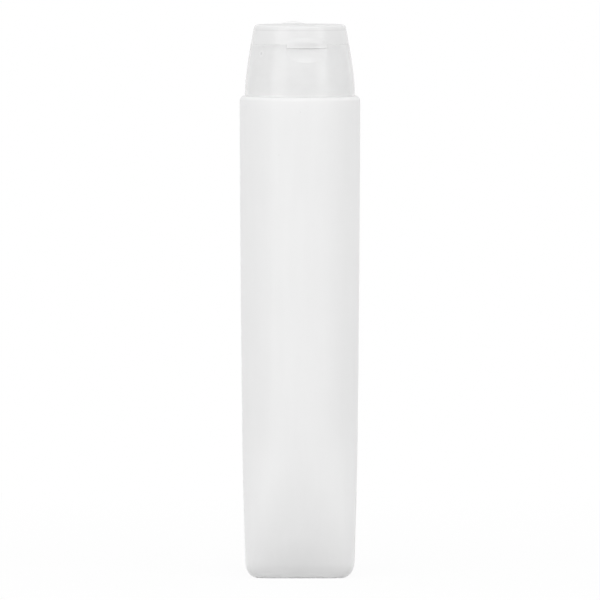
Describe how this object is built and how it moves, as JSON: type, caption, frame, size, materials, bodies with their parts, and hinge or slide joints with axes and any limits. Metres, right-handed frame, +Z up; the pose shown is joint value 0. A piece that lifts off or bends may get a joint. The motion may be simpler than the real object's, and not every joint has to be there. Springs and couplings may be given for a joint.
{
  "type": "squeeze tube",
  "caption": "Round-shouldered blow-moulded squeeze tube flattened to a standing base, with a screw-on flip-top cap, plug pin and living hinge.",
  "frame": {"origin": "middle of the standing rim, on the floor", "axes": "+Z up the tube's axis to the lid, -Y the tube's flat front, +X to the right seen from the front; the closure's thumb scoop is 8.6 degrees further round, counter-clockwise from above, and its hinge is opposite the scoop"},
  "size_m": [0.035, 0.035, 0.1618],
  "materials": {
    "tube_plastic": "milky natural polyethylene, satin",
    "cap_plastic": "milky natural polypropylene, soft gloss",
    "lid_plastic": "milky natural polypropylene, soft gloss",
    "hinge_plastic": "thin natural polypropylene",
    "liner_foam": "white closed-cell foam"
  },
  "bodies": {
    "tube": {"tube_body": "tube_plastic"},
    "liner": {"cap_liner": "liner_foam"},
    "cap": {"cap_base": "cap_plastic", "hinge_web": "hinge_plastic", "hinge_strap_left": "hinge_plastic", "hinge_strap_right": "hinge_plastic"},
    "lid": {"flip_lid": "lid_plastic"}
  },
  "joints": [
    {"name": "cap_rise", "type": "slide", "parent": "tube", "child": "liner", "axis": [0, 0, 1], "range_m": [0, 0.00476]},
    {"name": "cap_turn", "type": "hinge", "parent": "liner", "child": "cap", "pos_m": [0, 0, 0.15555], "axis": [0, 0, 1], "range_deg": [0, 540]},
    {"name": "lid_flip", "type": "hinge", "parent": "cap", "child": "lid", "pos_m": [-0.00217, 0.01434, 0.15555], "axis": [-0.9888, -0.1495, 0], "range_deg": [0, 150], "deforming": ["hinge_web", "hinge_strap_left", "hinge_strap_right"]}
  ],
  "couplings": [
    {"joint": "cap_turn", "follows": "cap_rise", "rad_per_m": 1979}
  ]
}
